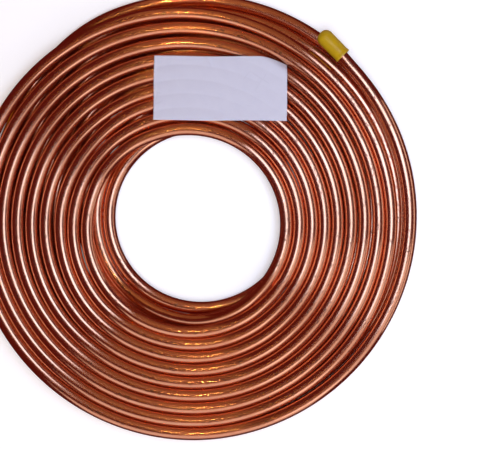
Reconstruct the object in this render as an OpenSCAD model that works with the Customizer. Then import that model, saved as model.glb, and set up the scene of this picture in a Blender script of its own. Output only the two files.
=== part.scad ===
// Coil of soft copper tube, wound flat in two layers, with a push-on cap on each tube end
// and a paper label stuck across the turns of the upper layer.
// Units are millimetres. The coil lies on z = 0, and its axis is Z.

/* [Tube] */
// Outside diameter of the tube
tube_od = 9.52; // [9.4:0.01:9.6]

/* [Coil] */
// Outside diameter of the wound coil
coil_od = 334; // [332:0.5:336]
// Clear diameter through the middle of the coil
bore_d = 122; // [119:0.5:124]
// Turns side by side in the lower layer
lower_turns = 11; // [11:1:11]
// Turns side by side in the upper layer, without its loose outer turn
upper_turns = 9; // [9:1:9]
// Mean radius of the innermost turn of the upper layer
upper_inner_r = 70.6; // [70:0.1:72]
// Distance between neighbouring turns of the upper layer
upper_pitch = 9.72; // [9.6:0.01:9.8]
// How far the solid fill reaches past the middle of the turns, up into the valleys
valley_fill = 1.5; // [1:0.1:2.5]

/* [Tube ends] */
// Direction in which the upper end starts to run straight, seen from above
upper_end_angle = 44.5; // [40:0.1:50]
// Length of the straight upper end
upper_end_length = 28; // [26:0.5:30]
// Direction in which the lower end of the tube lies
lower_end_angle = 151.5; // [145:0.5:155]
// Height by which a cap's wall lifts the tube off what it lies on
end_lift = 1.9; // [1.8:0.1:2.2]
// Radius at which the lower end stands clear of the coil
lower_end_r = 182; // [182:0.1:183]

/* [Caps] */
// Outside diameter of a cap
cap_od = 12.6; // [12:0.1:12.7]
// Length of a cap
cap_length = 24.2; // [22:0.1:25]
// Thickness of a cap's closed end
cap_end = 5; // [4:0.1:6]
// Bevel of a cap's closed end
cap_bevel = 3.6; // [2.5:0.1:4]
// Play between a cap and the tube, on the radius
cap_play = 0.05; // [0.03:0.01:0.1]

/* [Label] */
// Width of the paper label
label_w = 98.8; // [90:0.1:100]
// Height of the paper label
label_h = 47.6; // [40:0.1:50]
// Thickness of the paper
label_t = 0.25; // [0.2:0.05:0.4]
// Middle of the label from the coil's axis, to the right
label_x = 19.7; // [15:0.1:25]
// Middle of the label from the coil's axis, to the back
label_y = 94.5; // [90:0.1:100]

/* [Hidden] */
$fn = 96;

tube_r = tube_od / 2;
lower_z = tube_r;
upper_z = 3 * tube_r;
lower_inner_r = bore_d / 2 + tube_r;
outer_turn_r = coil_od / 2 - tube_r;
lower_pitch = (outer_turn_r - lower_inner_r) / (lower_turns - 1);
upper_outer_r = upper_inner_r + (upper_turns - 1) * upper_pitch;

// The loose outer turn of the upper layer lies in one tilted plane, lowest where it
// begins. It comes out of the turn next to it on a lead-out arc of a quarter turn, goes on
// over half a turn, and then runs straight to its lifted end.
loose_sweep = 180;
lead_out_sweep = 90;
tilt_direction = -33;
loose_tilt = asin(end_lift / (outer_turn_r * cos(tilt_direction)));
// rounded to 0.01 mm, so that the two arcs meet exactly
lead_out_r = round(50 * (outer_turn_r
    + sqrt(2 * pow(upper_outer_r, 2) - pow(outer_turn_r, 2)))) / 100;

// The lower end runs straight out of the outer turn of the lower layer, just high enough
// for its cap to clear the floor.
stub_z = cap_od / 2;
stub_sweep = 26;
stub_sink = 1.5;
stub_end = [lower_end_r, 0];
stub_start = [cos(stub_sweep), sin(stub_sweep)] * (outer_turn_r - stub_sink);
stub_length = norm(stub_end - stub_start);
stub_angle = atan2(stub_end[1] - stub_start[1], stub_end[0] - stub_start[0]);

// A round rod bent to radius r about Z, from one angle to another
module bent_rod(d, r, from, to) {
    rotate([0, 0, from])
        rotate_extrude(angle = to - from)
            translate([r, 0]) circle(d = d);
}

module coil_section() {
    for (i = [0 : lower_turns - 1])
        translate([lower_inner_r + i * lower_pitch, lower_z]) circle(d = tube_od);
    for (i = [0 : upper_turns - 1])
        translate([upper_inner_r + i * upper_pitch, upper_z]) circle(d = tube_od);
    // solid fill between the two layers
    polygon([
        [lower_inner_r, lower_z - valley_fill],
        [outer_turn_r, lower_z - valley_fill],
        [outer_turn_r, lower_z + valley_fill],
        [upper_outer_r, upper_z + valley_fill],
        [upper_inner_r, upper_z + valley_fill],
        [lower_inner_r, lower_z + valley_fill]
    ]);
}

// Puts its children into the tilted plane of the loose turn, whose arc ends on the X axis
module loose_plane() {
    translate([0, 0, upper_z]) rotate([0, 0, upper_end_angle + tilt_direction])
        rotate([0, -loose_tilt, 0]) rotate([0, 0, -tilt_direction])
            children();
}

module loose_outer_turn() {
    loose_plane() {
        bent_rod(tube_od, outer_turn_r, -loose_sweep, 0);
        translate([outer_turn_r, 0, 0]) rotate([-90, 0, 0])
            cylinder(h = upper_end_length, d = tube_od);
        rotate([0, 0, -loose_sweep])
            translate([outer_turn_r - lead_out_r, 0, 0])
                bent_rod(tube_od, lead_out_r, -lead_out_sweep, 0);
    }
}

// Puts its children at a tube end, with the tube lying along -Z
module at_upper_end() {
    loose_plane() translate([outer_turn_r, upper_end_length, 0]) rotate([-90, 0, 0])
        children();
}

module at_lower_end() {
    rotate([0, 0, lower_end_angle]) translate([stub_end[0], stub_end[1], stub_z])
        rotate([0, 0, stub_angle]) rotate([0, 90, 0])
            children();
}

module lower_end_stub() {
    at_lower_end() translate([0, 0, -stub_length]) cylinder(h = stub_length, d = tube_od);
}

module tube_coil() {
    color("#b8693f") {
        rotate_extrude() coil_section();
        loose_outer_turn();
        lower_end_stub();
    }
}

// A straight cap for a tube that lies along -Z and ends at z = 0
module end_cap() {
    cap_r = cap_od / 2;
    bore_r = tube_od / 2 + cap_play;
    color("#c8a00f") rotate_extrude() polygon([
        [0, 0],
        [bore_r, 0],
        [bore_r, cap_end - cap_length],
        [cap_r, cap_end - cap_length],
        [cap_r, cap_end - cap_bevel],
        [cap_r - cap_bevel, cap_end],
        [0, cap_end]
    ]);
}

module paper_label() {
    color("#cfcfdc")
        translate([label_x - label_w / 2, label_y - label_h / 2, upper_z + tube_r])
            cube([label_w, label_h, label_t]);
}

tube_coil();
at_upper_end() end_cap();  // upper_end_cap
at_lower_end() end_cap();  // lower_end_cap
paper_label();
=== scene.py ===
"""A coil of soft copper tube, wound flat in two layers, with a cap on each end and a paper label.

The coil is one tube. It is wound inwards in the lower layer, climbs at the open middle, and is
wound outwards in the upper layer. Sizes are in metres and angles are in radians, in the frame of
the CAD model: the coil's axis is Z, and it lies on z = 0.
"""
import math

import bpy
import numpy as np
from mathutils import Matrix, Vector


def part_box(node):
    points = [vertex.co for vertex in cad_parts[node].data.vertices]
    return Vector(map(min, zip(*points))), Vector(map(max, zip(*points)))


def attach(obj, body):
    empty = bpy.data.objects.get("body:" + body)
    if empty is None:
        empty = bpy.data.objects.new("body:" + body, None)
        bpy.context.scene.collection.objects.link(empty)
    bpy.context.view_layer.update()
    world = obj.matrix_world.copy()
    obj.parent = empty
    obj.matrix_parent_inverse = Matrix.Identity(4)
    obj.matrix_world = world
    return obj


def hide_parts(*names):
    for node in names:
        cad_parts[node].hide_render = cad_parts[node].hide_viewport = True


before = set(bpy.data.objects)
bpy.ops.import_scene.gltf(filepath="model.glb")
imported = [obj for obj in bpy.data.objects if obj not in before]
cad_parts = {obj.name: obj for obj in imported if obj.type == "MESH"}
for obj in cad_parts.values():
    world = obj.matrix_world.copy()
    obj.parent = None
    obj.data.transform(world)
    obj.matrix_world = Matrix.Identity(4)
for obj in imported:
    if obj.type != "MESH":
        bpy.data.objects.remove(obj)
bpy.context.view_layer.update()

# ---------------------------------------------------------------------------------------------
# Driving sizes
# ---------------------------------------------------------------------------------------------

TUBE_OD = 0.00952
TUBE_R = 0.00474            # a hair under the nominal radius, so that touching turns stay apart
LOWER_Z = TUBE_OD / 2
UPPER_Z = 3 * TUBE_OD / 2

COIL_LOW, COIL_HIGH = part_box("tube_coil")
OUTER_TURN_R = (COIL_HIGH[0] - COIL_LOW[0]) / 2 - TUBE_OD / 2

# The turns are counted along the tube. A whole number is where the tube crosses the +X
# direction, and turn 1 is the innermost whole turn of the upper layer.
SAMPLES_PER_TURN = 1440
LOWER_START = -9.5          # where the lower end's straight stretch meets the lower layer
LOWER_PITCH = 0.00954
LOWER_STEP = (0.81, 0.945)  # part of each turn over which the tube steps in by one pitch
LAST_LOWER_STEP = 8         # steps from the outermost turn to the last one of the lower layer

INNER_R = 0.0682            # the innermost turn, which joins the two layers
INNER_SHIFT = 0.0019        # how far its first half lies off the middle, and in which direction
INNER_SHIFT_DIRECTION = math.radians(55)
INNER_SWING = 0.0080        # how far it swings out to climb into the upper layer

WINDING_CENTRE = (0.0030, -0.0022)      # of the upper layer, which lies a little off the axis
UPPER_FIRST_SETTLED = 1.9   # from here outwards, each turn of the upper layer rests on the last
UPPER_MIDDLE_TURN = 5
UPPER_MIDDLE_R = 0.1107
UPPER_HALF_WIDTH = 0.0507
EASING = 0.05               # turns over which an eased stretch comes in, and goes out again
# Stretches of the upper layer that ease a little inwards, or outwards for a depth below zero, to
# lie over an open place in the lower layer: where each starts and ends in turns, and its depth
EASED = [
    (1.37, 1.43, -0.0008),
    (2.39, 2.44, -0.0002),
    (3.08, 3.26, -0.0003),
    (3.30, 3.34, -0.0005),
    (3.40, 3.44, 0.0010),
    (3.52, 3.60, 0.0008),
    (4.08, 4.26, 0.0003),
    (4.31, 4.38, 0.0011),
    (4.56, 4.60, 0.0004),
]
TOUCHING = TUBE_OD * 0.997  # closest spacing of two turns, a hair under the tube's diameter

RING_SPACING = 0.005        # of the mesh rings that make up the tube
RING_SIDES = 28

CAP_OD = 0.0126
CAP_LENGTH = 0.0242
CAP_END = 0.005             # thickness of its closed end

LABEL_THICKNESS = 0.00022


def smooth(x, start, end):
    """0 before start, 1 after end, and a smooth rise between them."""
    s = np.clip((x - start) / (end - start), 0.0, 1.0)
    return s * s * (3 - 2 * s)


# ---------------------------------------------------------------------------------------------
# The route of the tube
# ---------------------------------------------------------------------------------------------

def tube_end(cap_node, cap_axis):
    """Where the tube ends inside a cap, from the middle of the cap's CAD box and its axis."""
    low, high = (Vector(corner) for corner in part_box(cap_node))
    return (low + high) / 2 + cap_axis * (CAP_LENGTH / 2 - CAP_END)


# The upper cap points along the last straight stretch, a little outwards from its turn, and
# slightly downwards. The lower cap points to the back.
UPPER_CAP_HEADING = math.radians(134.5)
UPPER_CAP_AXIS = Vector(
    (math.cos(UPPER_CAP_HEADING), math.sin(UPPER_CAP_HEADING), -0.0055)).normalized()
LOWER_CAP_AXIS = Vector((0, 1, 0))

UPPER_TUBE_END = tube_end("upper_end_cap", UPPER_CAP_AXIS)
LOWER_TUBE_END = tube_end("lower_end_cap", LOWER_CAP_AXIS)


def stretch(turn, rise_start, rise_end, fall_start, fall_end):
    """1 along a stretch of the tube and 0 elsewhere, with a smooth rise and fall."""
    return smooth(turn, rise_start, rise_end) * (1 - smooth(turn, fall_start, fall_end))


def lower_layer(turn):
    """Concentric turns from the outside inwards, each with a step in to the next one."""
    passed = turn - LOWER_START
    steps = np.floor(passed) + smooth(passed % 1, *LOWER_STEP)
    # the last turn steps in sooner, and goes a quarter of a pitch too far and back again, so
    # that it lies against the climbing turn, and the turn outside it follows it a little
    last = LAST_LOWER_STEP - 1 + smooth(turn, -1.80, -1.62)
    last += 0.26 * stretch(turn, -1.80, -1.62, -1.46, -1.26)
    following = 0.08 * stretch(turn, -2.52, -2.46, -2.42, -2.32)
    steps = np.where(turn > -1.9, last, steps + following)
    radius = OUTER_TURN_R - 0.0001 - LOWER_PITCH * steps
    return radius * np.cos(2 * np.pi * turn), radius * np.sin(2 * np.pi * turn)


def inner_turn_radius(turn):
    """The innermost turn, which swings out by one tube to let the upper layer start."""
    angle = 2 * np.pi * turn
    shift = INNER_SHIFT * np.cos(angle - INNER_SHIFT_DIRECTION) * (1 - smooth(turn, -0.2, 0.2))
    swing = INNER_SWING * smooth(turn, -0.30, 0.3)
    return INNER_R + shift + swing


def upper_layer_radius(turn):
    """A spiral that opens a little, off centre and slightly oval, about WINDING_CENTRE."""
    part = (turn - UPPER_MIDDLE_TURN) / UPPER_MIDDLE_TURN
    angle = 2 * np.pi * turn
    radius = UPPER_MIDDLE_R + UPPER_HALF_WIDTH * part + 0.0014 * part**2
    across = (-0.0075 - 0.0015 * part + 0.0008 * part**2) * np.cos(angle)
    along = (-0.0043 + 0.0034 * part + 0.0007 * part**2) * np.sin(angle)
    oval = (0.0006 + 0.0003 * part) * np.cos(2 * angle) - 0.0007 * part * np.sin(2 * angle)
    # the last turn but one is pulled tight, and the last one springs out
    pulled = -0.0016 * stretch(turn, 8.85, 9.05, 9.15, 9.3)
    sprung = 0.0028 * smooth(turn, 9.7, 10.2)
    for start, end, depth in EASED:
        radius = radius - depth * stretch(turn, start - EASING, start, end, end + EASING)
    return radius + across + along + oval + pulled + sprung


def rest_against_inner_turns(turn, radius):
    """Keeps each turn from sinking into the one inside it, within the outside of the coil."""
    settled = radius.copy()
    limit = OUTER_TURN_R - 0.0002
    first = np.searchsorted(turn, UPPER_FIRST_SETTLED)
    second = np.searchsorted(turn, UPPER_FIRST_SETTLED + 1)
    # one turn at a time, as each rests on the turn before it
    for start in range(first, len(turn), SAMPLES_PER_TURN):
        here = slice(start, min(start + SAMPLES_PER_TURN, len(turn)))
        inside = settled[start - SAMPLES_PER_TURN:here.stop - SAMPLES_PER_TURN]
        settled[here] = np.maximum(settled[here], inside + TOUCHING)
    # no turn reaches past the outside of the lower layer, and the ones inside it make room
    angle = 2 * np.pi * turn
    x = WINDING_CENTRE[0] + settled * np.cos(angle)
    y = WINDING_CENTRE[1] + settled * np.sin(angle)
    settled = settled - np.maximum(np.hypot(x, y) - limit, 0)
    for start in range(len(turn) - SAMPLES_PER_TURN, second, -SAMPLES_PER_TURN):
        inside = slice(start - SAMPLES_PER_TURN, start)
        outside = settled[start:start + SAMPLES_PER_TURN]
        settled[inside] = np.minimum(settled[inside], outside - TOUCHING)
    # copper doesn't kink, so the places where that changed the radius are smoothed
    kernel = np.hanning(SAMPLES_PER_TURN // 11)
    kernel /= kernel.sum()
    smoothed = np.convolve(settled, kernel, mode="same")
    whole = (turn > UPPER_FIRST_SETTLED + 0.05) & (turn < turn[-1] - 0.1)
    return np.where(whole, smoothed, settled)


def climb_along_inner_turn(turn, radius):
    """Keeps the climbing stretch on the innermost turn's flank, with no gap and no overlap."""
    inside = np.roll(radius, SAMPLES_PER_TURN)
    rise = level(turn) - np.roll(level(turn), SAMPLES_PER_TURN)
    touching = np.sqrt(np.maximum(TUBE_OD**2 - rise**2, 0))
    widest = np.maximum(touching, 0.0091)
    beside = inside + np.clip(radius - inside, touching, widest)
    return radius + (beside - radius) * stretch(turn, 0.36, 0.44, 0.72, 0.82)


def level(turn):
    """Height of the tube's centre line along the winding."""
    climb = (UPPER_Z - LOWER_Z) * smooth(turn, 0.5, 0.89)
    # the tube rises halfway where it crosses over its own lead-in, under the upper layer
    hump = TUBE_OD / 2 * stretch(turn, -0.08, 0.05, 0.25, 0.42)
    lift = (UPPER_TUBE_END.z - UPPER_Z) * smooth(turn, 9.7, 10.1)
    return LOWER_Z + climb + hump + lift


def upper_tangent_turn():
    """Where the last straight stretch leaves the winding, counted in turns."""
    heading = math.atan2(UPPER_CAP_AXIS.y, UPPER_CAP_AXIS.x)
    return 10 + (heading - math.pi / 2) / (2 * math.pi)


def winding():
    """Points along the whole centre line, from the lower end to the upper end."""
    last = upper_tangent_turn()
    turn = np.arange(LOWER_START, last, 1 / SAMPLES_PER_TURN)
    angle = 2 * np.pi * turn

    inner = inner_turn_radius(turn)
    upper = rest_against_inner_turns(turn, upper_layer_radius(turn))
    radius = climb_along_inner_turn(turn, inner + (upper - inner) * smooth(turn, 0.62, 0.87))
    x = WINDING_CENTRE[0] + radius * np.cos(angle)
    y = WINDING_CENTRE[1] + radius * np.sin(angle)

    lower_x, lower_y = lower_layer(turn)
    joined = smooth(turn, -1.3, -0.75)
    x = lower_x + (x - lower_x) * joined
    y = lower_y + (y - lower_y) * joined
    points = np.stack([x, y, level(turn)], axis=1)
    return np.concatenate([lower_lead_in(points[0]), points, upper_lead_out(points)[1:]])


def lower_lead_in(start):
    """The straight stretch from the lower end back to the start of the winding."""
    end = np.array(LOWER_TUBE_END)
    y = np.arange(end[1], start[1] + 0.002, -0.002)
    blend = smooth(y, start[1] + 0.005, start[1] + 0.060)
    x = start[0] + (end[0] - start[0]) * blend
    z = start[2] + (end[2] - start[2]) * blend
    return np.stack([x, y, z], axis=1)


def upper_lead_out(points):
    """A smooth curve from the winding's last point to the upper end, along the cap's axis."""
    start = points[-1]
    heading = points[-1] - points[-2]
    heading = heading / np.linalg.norm(heading)
    end = np.array(UPPER_TUBE_END)
    axis = np.array(UPPER_CAP_AXIS)
    reach = np.linalg.norm(end - start)
    s = np.linspace(0, 1, 24)[:, None]
    h00 = 2 * s**3 - 3 * s**2 + 1
    h10 = s**3 - 2 * s**2 + s
    h01 = 3 * s**2 - 2 * s**3
    h11 = s**3 - s**2
    return h00 * start + h10 * reach * heading + h01 * end + h11 * reach * axis


def even_spacing(points, spacing):
    """The same route with points at an even spacing."""
    steps = np.linalg.norm(np.diff(points, axis=0), axis=1)
    along = np.concatenate([[0], np.cumsum(steps)])
    count = int(round(along[-1] / spacing)) + 1
    wanted = np.linspace(0, along[-1], count)
    return np.stack([np.interp(wanted, along, points[:, i]) for i in range(3)], axis=1)


# ---------------------------------------------------------------------------------------------
# Mesh helpers
# ---------------------------------------------------------------------------------------------

def new_piece(name, vertices, faces, uvs=None):
    """An object with smooth faces. uvs holds one pair for each corner of each face, in order."""
    mesh = bpy.data.meshes.new(name)
    mesh.from_pydata(vertices, [], faces)
    mesh.polygons.foreach_set("use_smooth", [True] * len(mesh.polygons))
    if uvs is not None:
        layer = mesh.uv_layers.new(name="along_and_around")
        layer.data.foreach_set("uv", np.asarray(uvs, dtype=np.float32).ravel())
    mesh.update()
    piece = bpy.data.objects.new(name, mesh)
    bpy.context.scene.collection.objects.link(piece)
    return piece


def sweep_frames(points):
    """Directions along, to the side of and above a route that is nearly level."""
    along = np.gradient(points, axis=0)
    along /= np.linalg.norm(along, axis=1)[:, None]
    side = np.cross(along, [0, 0, 1])
    side /= np.linalg.norm(side, axis=1)[:, None]
    above = np.cross(side, along)
    return along, side, above


def swept_tube(name, points, radius, sides):
    """A round tube along points, with closed ends, and UVs in tube circumferences."""
    along, side, above = sweep_frames(points)
    around = 2 * np.pi * np.arange(sides) / sides
    # the first vertex of each ring is at the bottom, which puts the UV seam there
    ring = (np.sin(around)[:, None, None] * side - np.cos(around)[:, None, None] * above) * radius
    vertices = (points + ring).transpose(1, 0, 2).reshape(-1, 3)

    count = len(points)
    i, j = np.meshgrid(np.arange(count - 1), np.arange(sides), indexing="ij")
    next_j = (j + 1) % sides
    corners = np.stack(
        [i * sides + j, i * sides + next_j, (i + 1) * sides + next_j, (i + 1) * sides + j], axis=-1)
    faces = corners.reshape(-1, 4).tolist()

    steps = np.linalg.norm(np.diff(points, axis=0), axis=1)
    u = np.concatenate([[0], np.cumsum(steps)]) / (2 * np.pi * radius)
    v = np.arange(sides + 1) / sides
    uvs = np.stack([
        np.stack([u[i], v[j]], axis=-1), np.stack([u[i], v[j + 1]], axis=-1),
        np.stack([u[i + 1], v[j + 1]], axis=-1), np.stack([u[i + 1], v[j]], axis=-1),
    ], axis=2).reshape(-1, 2).tolist()

    first_ring = list(range(sides))
    last_ring = list(range((count - 1) * sides, count * sides))
    faces += [first_ring[::-1], last_ring]
    uvs += [[0, 0]] * (2 * sides)
    return new_piece(name, vertices.tolist(), faces, uvs)


# ---------------------------------------------------------------------------------------------
# Material helpers
# ---------------------------------------------------------------------------------------------

class Nodes:
    """Short ways to add and link nodes in one node tree."""

    def __init__(self, tree):
        self.tree = tree

    def add(self, kind, settings=None, **inputs):
        node = self.tree.nodes.new(kind)
        for key, value in (settings or {}).items():
            setattr(node, key, value)
        for key, value in inputs.items():
            self.put(node.inputs[key.replace("_", " ")], value)
        return node

    def put(self, socket, value):
        if isinstance(value, bpy.types.NodeSocket):
            self.tree.links.new(value, socket)
        else:
            socket.default_value = value

    def maths(self, operation, a, b=0.0, clamp=False):
        node = self.tree.nodes.new("ShaderNodeMath")
        node.operation = operation
        node.use_clamp = clamp
        self.put(node.inputs[0], a)
        self.put(node.inputs[1], b)
        return node.outputs[0]

    def vector(self, operation, a, b):
        node = self.tree.nodes.new("ShaderNodeVectorMath")
        node.operation = operation
        self.put(node.inputs[0], a)
        self.put(node.inputs[1], b)
        return node.outputs[0]

    def between(self, value, low, high, to_low=0.0, to_high=1.0):
        node = self.tree.nodes.new("ShaderNodeMapRange")
        node.interpolation_type = "SMOOTHSTEP"
        for socket, setting in zip(node.inputs[:5], (value, low, high, to_low, to_high)):
            self.put(socket, setting)
        return node.outputs[0]

    def mix(self, factor, a, b, blend="MIX"):
        node = self.tree.nodes.new("ShaderNodeMix")
        node.data_type = "RGBA"
        node.blend_type = blend
        self.put(node.inputs["Factor"], factor)
        self.put(node.inputs["A"], a)
        self.put(node.inputs["B"], b)
        return node.outputs["Result"]

    def noise(self, vector, scale, detail=2.0, roughness=0.5):
        node = self.add("ShaderNodeTexNoise", Vector=vector, Scale=scale, Detail=detail,
                        Roughness=roughness)
        return node.outputs["Fac"]

    def use(self, group, **inputs):
        node = self.tree.nodes.new("ShaderNodeGroup")
        node.node_tree = group
        for key, value in inputs.items():
            self.put(node.inputs[key.replace("_", " ")], value)
        return node


def new_group(name, inputs, outputs):
    """An empty shader node group. inputs and outputs give each socket's name and kind."""
    tree = bpy.data.node_groups.new(name, "ShaderNodeTree")
    for label, kind in inputs.items():
        tree.interface.new_socket(label, in_out="INPUT", socket_type="NodeSocket" + kind)
    for label, kind in outputs.items():
        tree.interface.new_socket(label, in_out="OUTPUT", socket_type="NodeSocket" + kind)
    nodes = Nodes(tree)
    return tree, nodes, nodes.add("NodeGroupInput").outputs, nodes.add("NodeGroupOutput").inputs


def mottling_group():
    """Soft patches in two sizes, for tarnish, pigment and paper pulp."""
    tree, nodes, given, result = new_group(
        "mottling", {"Vector": "Vector", "Patch Size": "Float", "Contrast": "Float"},
        {"Mask": "Float"})
    scale = nodes.maths("DIVIDE", 1.0, given["Patch Size"])
    broad = nodes.noise(given["Vector"], scale, 3.0, 0.55)
    fine = nodes.noise(given["Vector"], nodes.maths("MULTIPLY", scale, 4.7), 2.0, 0.5)
    both = nodes.maths("ADD", nodes.maths("MULTIPLY", broad, 0.7), nodes.maths("MULTIPLY", fine, 0.3))
    spread = nodes.maths("MULTIPLY", nodes.maths("SUBTRACT", both, 0.5), given["Contrast"])
    nodes.put(result["Mask"], nodes.maths("ADD", spread, 0.5, clamp=True))
    return tree


def drawn_lines_group():
    """Fine lines along the tube, as a drawing die leaves them."""
    tree, nodes, given, result = new_group(
        "drawn lines", {"Vector": "Vector", "Line Length": "Float", "Lines Around": "Float"},
        {"Mask": "Float", "Height": "Float"})
    stretch = nodes.add("ShaderNodeCombineXYZ", X=nodes.maths("DIVIDE", 1.0, given["Line Length"]),
                        Y=given["Lines Around"], Z=1.0)
    stretched = nodes.vector("MULTIPLY", given["Vector"], stretch.outputs[0])
    lines = nodes.noise(stretched, 1.0, 3.0, 0.6)
    nodes.put(result["Mask"], nodes.between(lines, 0.38, 0.66))
    nodes.put(result["Height"], lines)
    return tree


def scuffs_group():
    """Sparse, short, thin rub marks in mixed directions."""
    tree, nodes, given, result = new_group(
        "scuffs", {"Vector": "Vector", "Size": "Float", "Amount": "Float"}, {"Mask": "Float"})
    scale = nodes.maths("DIVIDE", 1.0, given["Size"])
    bend = nodes.add("ShaderNodeTexNoise", Vector=given["Vector"], Scale=scale, Detail=1.0)
    bent = nodes.vector("ADD", given["Vector"], nodes.vector(
        "MULTIPLY", bend.outputs["Color"], (0.004, 0.004, 0.004)))
    cells = nodes.add("ShaderNodeTexVoronoi", {"feature": "DISTANCE_TO_EDGE"}, Vector=bent, Scale=scale)
    line = nodes.between(cells.outputs["Distance"], 0.0, 0.03, 1.0, 0.0)
    where = nodes.noise(given["Vector"], nodes.maths("MULTIPLY", scale, 0.6), 2.0, 0.5)
    limit = nodes.maths("SUBTRACT", 0.75, nodes.maths("MULTIPLY", given["Amount"], 0.3))
    some = nodes.between(where, limit, nodes.maths("ADD", limit, 0.1))
    nodes.put(result["Mask"], nodes.maths("MULTIPLY", line, some))
    return tree


def ink_marks_group():
    """Worn ink dabs in runs along the top of the tube, with no letters among them."""
    tree, nodes, given, result = new_group(
        "ink marks", {"Vector": "Vector", "Run Length": "Float", "Run Gap": "Float"},
        {"Mask": "Float"})
    parts = nodes.add("ShaderNodeSeparateXYZ", Vector=given["Vector"])
    along, around = parts.outputs["X"], parts.outputs["Y"]
    off_top = nodes.maths("ABSOLUTE", nodes.maths("SUBTRACT", around, 0.5))
    band = nodes.between(off_top, 0.035, 0.06, 1.0, 0.0)
    whole = nodes.maths("ADD", given["Run Length"], given["Run Gap"])
    place = nodes.maths("MODULO", along, whole)
    run = nodes.between(nodes.maths("SUBTRACT", given["Run Length"], place), 0.0, 0.05)
    dab_vector = nodes.vector("MULTIPLY", given["Vector"], (9.0, 26.0, 1.0))
    dabs = nodes.between(nodes.noise(dab_vector, 1.0, 2.0, 0.6), 0.50, 0.58)
    worn = nodes.between(nodes.noise(given["Vector"], 2.6, 2.0, 0.5), 0.42, 0.60)
    where = nodes.maths("MULTIPLY", band, run)
    nodes.put(result["Mask"], nodes.maths("MULTIPLY", where, nodes.maths("MULTIPLY", dabs, worn)))
    return tree


GROUPS = {
    "mottling": mottling_group(),
    "drawn_lines": drawn_lines_group(),
    "scuffs": scuffs_group(),
    "ink_marks": ink_marks_group(),
}


def new_material(name):
    material = bpy.data.materials.new(name)
    material.use_nodes = True
    material.node_tree.nodes.clear()
    nodes = Nodes(material.node_tree)
    shader = nodes.add("ShaderNodeBsdfPrincipled")
    output = nodes.add("ShaderNodeOutputMaterial")
    nodes.put(output.inputs["Surface"], shader.outputs["BSDF"])
    return material, nodes, shader.inputs


def bump(nodes, height, strength, distance):
    return nodes.add("ShaderNodeBump", Strength=strength, Distance=distance, Height=height).outputs[0]


def copper_material():
    material, nodes, shader = new_material("bright drawn copper")
    route = nodes.add("ShaderNodeTexCoord").outputs["UV"]
    space = nodes.add("ShaderNodeTexCoord").outputs["Object"]
    tarnish = nodes.use(GROUPS["mottling"], Vector=space, Patch_Size=0.035, Contrast=2.4).outputs["Mask"]
    lines = nodes.use(GROUPS["drawn_lines"], Vector=route, Line_Length=9.0, Lines_Around=60.0)
    scuffs = nodes.use(GROUPS["scuffs"], Vector=space, Size=0.012, Amount=0.35).outputs["Mask"]
    ink = nodes.use(GROUPS["ink_marks"], Vector=route, Run_Length=3.1, Run_Gap=1.7).outputs["Mask"]

    metal = nodes.mix(tarnish, (0.90, 0.41, 0.23, 1), (0.84, 0.34, 0.17, 1))
    metal = nodes.mix(nodes.maths("MULTIPLY", lines.outputs["Mask"], 0.12), metal, (0.95, 0.52, 0.34, 1))
    metal = nodes.mix(nodes.maths("MULTIPLY", scuffs, 0.5), metal, (0.97, 0.66, 0.50, 1))
    inked = nodes.mix(nodes.maths("MULTIPLY", ink, 0.6), metal, (0.12, 0.05, 0.03, 1))
    nodes.put(shader["Base Color"], inked)
    shader["Metallic"].default_value = 1.0
    # the drawn lines spread a reflection across the tube, and leave it sharp along the tube
    shader["Anisotropic"].default_value = 0.95
    shader["Anisotropic Rotation"].default_value = 0.25
    roughness = nodes.between(tarnish, 0.0, 1.0, 0.13, 0.17)
    roughness = nodes.maths("ADD", roughness, nodes.maths("MULTIPLY", lines.outputs["Mask"], 0.03))
    nodes.put(shader["Roughness"], nodes.maths("ADD", roughness, nodes.maths("MULTIPLY", ink, 0.06)))
    nodes.put(shader["Normal"], bump(nodes, lines.outputs["Height"], 0.004, 0.0002))
    return material


def cap_material():
    material, nodes, shader = new_material("yellow dipped vinyl")
    space = nodes.add("ShaderNodeTexCoord").outputs["Object"]
    pigment = nodes.use(GROUPS["mottling"], Vector=space, Patch_Size=0.006, Contrast=1.8).outputs["Mask"]
    scuffs = nodes.use(GROUPS["scuffs"], Vector=space, Size=0.004, Amount=0.6).outputs["Mask"]
    grain = nodes.noise(space, 1800.0, 2.0, 0.6)
    yellow = nodes.mix(pigment, (0.56, 0.36, 0.004, 1), (0.44, 0.26, 0.003, 1))
    rubbed = nodes.mix(nodes.maths("MULTIPLY", scuffs, 0.35), yellow, (0.72, 0.55, 0.10, 1))
    nodes.put(shader["Base Color"], rubbed)
    nodes.put(shader["Roughness"], nodes.between(pigment, 0.0, 1.0, 0.34, 0.44))
    shader["Subsurface Weight"].default_value = 0.15
    shader["Subsurface Radius"].default_value = (0.004, 0.002, 0.0005)
    shader["Coat Weight"].default_value = 0.15
    nodes.put(shader["Normal"], bump(nodes, grain, 0.06, 0.0002))
    return material


def label_material():
    material, nodes, shader = new_material("coated label paper")
    space = nodes.add("ShaderNodeTexCoord").outputs["Object"]
    pulp = nodes.use(GROUPS["mottling"], Vector=space, Patch_Size=0.007, Contrast=1.6).outputs["Mask"]
    scuffs = nodes.use(GROUPS["scuffs"], Vector=space, Size=0.02, Amount=0.4).outputs["Mask"]
    fibres = nodes.noise(nodes.vector("MULTIPLY", space, (900.0, 2600.0, 900.0)), 1.0, 3.0, 0.7)
    paper = nodes.mix(pulp, (0.62, 0.61, 0.68, 1), (0.58, 0.57, 0.65, 1))
    rubbed = nodes.mix(nodes.maths("MULTIPLY", scuffs, 0.3), paper, (0.45, 0.43, 0.50, 1))
    nodes.put(shader["Base Color"], rubbed)
    nodes.put(shader["Roughness"], nodes.between(pulp, 0.0, 1.0, 0.50, 0.62))
    nodes.put(shader["Normal"], bump(nodes, fibres, 0.12, 0.0001))
    return material


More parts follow.
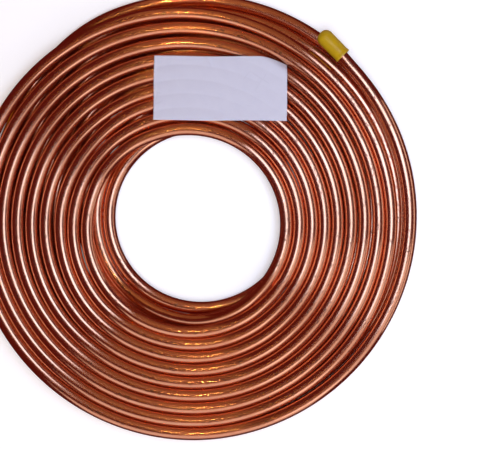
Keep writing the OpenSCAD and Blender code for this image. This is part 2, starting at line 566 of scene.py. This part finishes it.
# ---------------------------------------------------------------------------------------------
# The pieces
# ---------------------------------------------------------------------------------------------

def copper_tube(route):
    piece = swept_tube("wound_copper_tube", even_spacing(route, RING_SPACING), TUBE_R, RING_SIDES)
    piece.data.materials.append(copper_material())
    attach(piece, "root")
    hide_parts("tube_coil")
    return piece


def cap_profile():
    """Outline of a cap, as places along its axis and radii, from its inside to its closed tip.

    The axis starts at the tube's end and points away from the tube."""
    radius = CAP_OD / 2
    grip = CAP_END - CAP_LENGTH
    rim = 0.0005
    outline = [
        (grip + 0.0030, TUBE_R + 0.00005),
        (grip + rim, TUBE_R + 0.00012),
        (grip, TUBE_R + 0.00012 + rim),
        (grip, radius - rim),
        (grip + rim / 3, radius - rim / 3),
        (grip + rim, radius),
        (grip + 0.0016, radius),
        (grip + 0.0022, radius - 0.00022),
        (grip + 0.0030, radius - 0.00025),
        (CAP_END - 0.0062, radius - 0.00010),
    ]
    # the closed end is a blunt dome
    dome = 0.0052
    for i in range(1, 13):
        a = math.pi / 2 * i / 12
        across = (radius - 0.0001) * math.cos(a) ** 0.72
        outline.append((CAP_END - dome + dome * math.sin(a) ** 1.15, max(across, 0.0)))
    return outline


def end_cap(name, node, end_point, axis, material):
    """A dipped vinyl cap, turned about its own axis."""
    sides = 48
    outline = cap_profile()
    side = axis.cross(Vector((0, 0, 1))).normalized()
    above = side.cross(axis)
    vertices = []
    for along, radius in outline[:-1]:
        for i in range(sides):
            a = 2 * math.pi * i / sides
            outwards = side * math.cos(a) + above * math.sin(a)
            vertices.append(end_point + axis * along + outwards * radius)
    vertices.append(end_point + axis * outline[-1][0])
    faces = []
    rings = len(outline) - 1
    for ring in range(rings - 1):
        for i in range(sides):
            j = (i + 1) % sides
            here, beyond = ring * sides, (ring + 1) * sides
            faces.append([here + i, here + j, beyond + j, beyond + i])
    tip = len(vertices) - 1
    last = (rings - 1) * sides
    faces += [[last + i, last + (i + 1) % sides, tip] for i in range(sides)]
    piece = new_piece(name, vertices, faces)
    piece.data.materials.append(material)
    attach(piece, "root")
    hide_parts(node)
    return piece


def label_point(s, t, low, high, crests):
    """A place on the label's top face. s runs from left to right, and t from front to back."""
    x, y = low.x + (high.x - low.x) * s, low.y + (high.y - low.y) * t
    # the label's edges aren't quite straight, and it is stuck on a little askew
    y += 0.0006 * (0.5 - s) + 0.0002 * math.sin(9 * s + 1)
    x += 0.0008 * (t - 0.5) + 0.00015 * math.sin(7 * t)
    # the corner at the back right is bent down, which also draws it in
    bent = max(0.0, (s - 0.80) / 0.20 + (t - 0.72) / 0.28 - 0.95)
    x -= 0.0006 * bent
    y -= 0.0052 * bent ** 1.5
    # the paper sinks a little between the turns, and has a short crease at its back edge
    from_crest = np.min(np.hypot(crests[:, 0] - x, crests[:, 1] - y))
    dip = 0.00020 * min(from_crest / (TUBE_OD / 2), 1.2) ** 2
    crease = 0.0005 * math.exp(-(((x - low.x - 0.040) + 0.35 * (y - high.y)) / 0.0012) ** 2)
    crease *= max(0.0, (y - high.y + 0.014) / 0.014)
    z = low.z + LABEL_THICKNESS - dip + crease - 0.0042 * bent ** 1.6
    # where the corner is pressed down, it lies on the turns
    turn_top = UPPER_Z + math.sqrt(max(TUBE_R**2 - from_crest**2, 0.0))
    return x, y, max(z, turn_top + LABEL_THICKNESS)


def paper_label(route):
    """A label pasted over the tops of the turns, with one corner bent down."""
    low, high = (Vector(corner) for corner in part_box("paper_label"))
    middle = (low + high) / 2
    columns, rows = 140, 70
    upper = route[np.abs(route[:, 2] - UPPER_Z) < 0.002]
    near_x = np.abs(upper[:, 0] - middle.x) < high.x - low.x
    near_y = np.abs(upper[:, 1] - middle.y) < high.y - low.y
    crests = upper[near_x & near_y][:, :2]
    vertices = [
        label_point(column / columns, row / rows, low, high, crests)
        for row in range(rows + 1) for column in range(columns + 1)
    ]
    stride = columns + 1
    faces = [
        [r * stride + c, r * stride + c + 1, (r + 1) * stride + c + 1, (r + 1) * stride + c]
        for r in range(rows) for c in range(columns)
    ]
    piece = new_piece("blank_paper_label", vertices, faces)
    solid = piece.modifiers.new("paper thickness", "SOLIDIFY")
    solid.thickness = LABEL_THICKNESS
    solid.offset = -1
    piece.data.materials.append(label_material())
    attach(piece, "root")
    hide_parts("paper_label")
    return piece


# ---------------------------------------------------------------------------------------------
# Camera, light and floor
# ---------------------------------------------------------------------------------------------

def camera():
    """Looks straight down on the coil, from a little to the right of its middle."""
    view_width = 0.3719
    height = 1.0
    data = bpy.data.cameras.new("camera")
    data.sensor_width = 36.0
    data.lens = data.sensor_width * height / view_width
    data.clip_start = 0.05
    eye = bpy.data.objects.new("camera", data)
    eye.location = (0.0416, -0.0067, UPPER_Z + height)
    bpy.context.scene.collection.objects.link(eye)
    bpy.context.scene.camera = eye


def softbox(name, place, target, size, radiance, colour=(1, 1, 1)):
    """A rectangular lamp of a given brightness, which faces target."""
    data = bpy.data.lights.new(name, "AREA")
    data.shape = "RECTANGLE"
    data.size, data.size_y = size
    data.energy = radiance * size[0] * size[1] * math.pi
    data.color = colour
    lamp = bpy.data.objects.new(name, data)
    lamp.location = place
    lamp.rotation_euler = (Vector(target) - Vector(place)).to_track_quat("-Z", "Y").to_euler()
    bpy.context.scene.collection.objects.link(lamp)
    return lamp


def small_lamp(name, place):
    """One of the small warm lamps that leave a row of sparks across the turns."""
    data = bpy.data.lights.new(name, "POINT")
    data.shadow_soft_size = 0.004
    data.energy = 0.6
    data.color = (1.0, 0.72, 0.28)
    lamp = bpy.data.objects.new(name, data)
    lamp.location = place
    bpy.context.scene.collection.objects.link(lamp)


def overhead_panel(name, corner, direction, size, height, radiance, colour):
    """A level panel that starts at a corner and runs along a direction, and to the right of it."""
    along = Vector((math.cos(direction), math.sin(direction), 0))
    right = Vector((along.y, -along.x, 0))
    place = Vector((*corner, height)) + along * size[0] / 2 + right * size[1] / 2
    panel = softbox(name, place, place - Vector((0, 0, 1)), size, radiance, colour)
    panel.rotation_euler = (0, 0, direction)
    return panel


def studio():
    """Soft panels, placed where the turns of the coil show their reflections."""
    cool, plain, brown = (0.35, 0.59, 1.0), (0.80, 0.86, 1.0), (1.0, 0.70, 0.38)
    edge = math.radians(57)
    overhead_panel("key panel", (-0.01, -0.005), edge, (0.30, 0.21), 0.50, 3.9, cool)
    overhead_panel("key surround", (0.0, 0.0), edge, (0.38, 0.28), 0.52, 0.6, plain)
    softbox("corner panel", (0.50, -0.43, 0.50), (0.50, -0.43, 0.0), (0.60, 0.70), 0.90, plain)
    softbox("front window", (0.0, -1.10, 0.62), (0.0, 0.0, 0.0), (1.6, 1.25), 0.85, plain)
    softbox("ceiling panel", (0.08, -0.05, 1.10), (0.08, -0.05, 0.0), (0.34, 1.9), 0.15, brown)
    softbox("back wall", (0.12, 1.00, 0.75), (0.05, 0.0, 0.0), (1.0, 1.2), 0.14, brown)
    softbox("side strip", (1.10, 0.0, 0.17), (0.0, 0.0, 0.02), (1.4, 0.32), 1.3, plain)
    # lights the floor, the label and the caps, without a reflection in the bright metal
    wash = softbox("wash", (0.1, -0.3, 2.2), (0.0, 0.0, 0.0), (2.0, 2.0), 2.6)
    wash.visible_glossy = False
    for x in (-0.073, -0.059):
        small_lamp("warm lamp", (x, 0.15, 1.2))
    world = bpy.data.worlds.new("studio")
    world.use_nodes = True
    world.node_tree.nodes["Background"].inputs["Color"].default_value = (0.09, 0.010, 0.008, 1)
    world.node_tree.nodes["Background"].inputs["Strength"].default_value = 1.0
    bpy.context.scene.world = world


def floor():
    half = 8.0
    corners = [(-half, -half, 0), (half, -half, 0), (half, half, 0), (-half, half, 0)]
    ground = new_piece("pale_floor", corners, [[0, 1, 2, 3]])
    material, nodes, shader = new_material("pale floor")
    space = nodes.add("ShaderNodeTexCoord").outputs["Object"]
    shade = nodes.use(GROUPS["mottling"], Vector=space, Patch_Size=0.3, Contrast=0.6).outputs["Mask"]
    nodes.put(shader["Base Color"], nodes.mix(shade, (0.93, 0.93, 0.93, 1), (0.90, 0.90, 0.90, 1)))
    shader["Roughness"].default_value = 0.85
    shader["Specular IOR Level"].default_value = 0.1
    shader["Emission Color"].default_value = (1.0, 1.0, 1.0, 1)
    shader["Emission Strength"].default_value = 0.25
    ground.data.materials.append(material)
    ground.visible_glossy = False


camera()
studio()
floor()
tube_route = winding()
copper_tube(tube_route)
vinyl = cap_material()
end_cap("upper_vinyl_cap", "upper_end_cap", UPPER_TUBE_END, UPPER_CAP_AXIS, vinyl)
end_cap("lower_vinyl_cap", "lower_end_cap", LOWER_TUBE_END, LOWER_CAP_AXIS, vinyl)
paper_label(tube_route)
bpy.context.scene.view_settings.view_transform = "Standard"
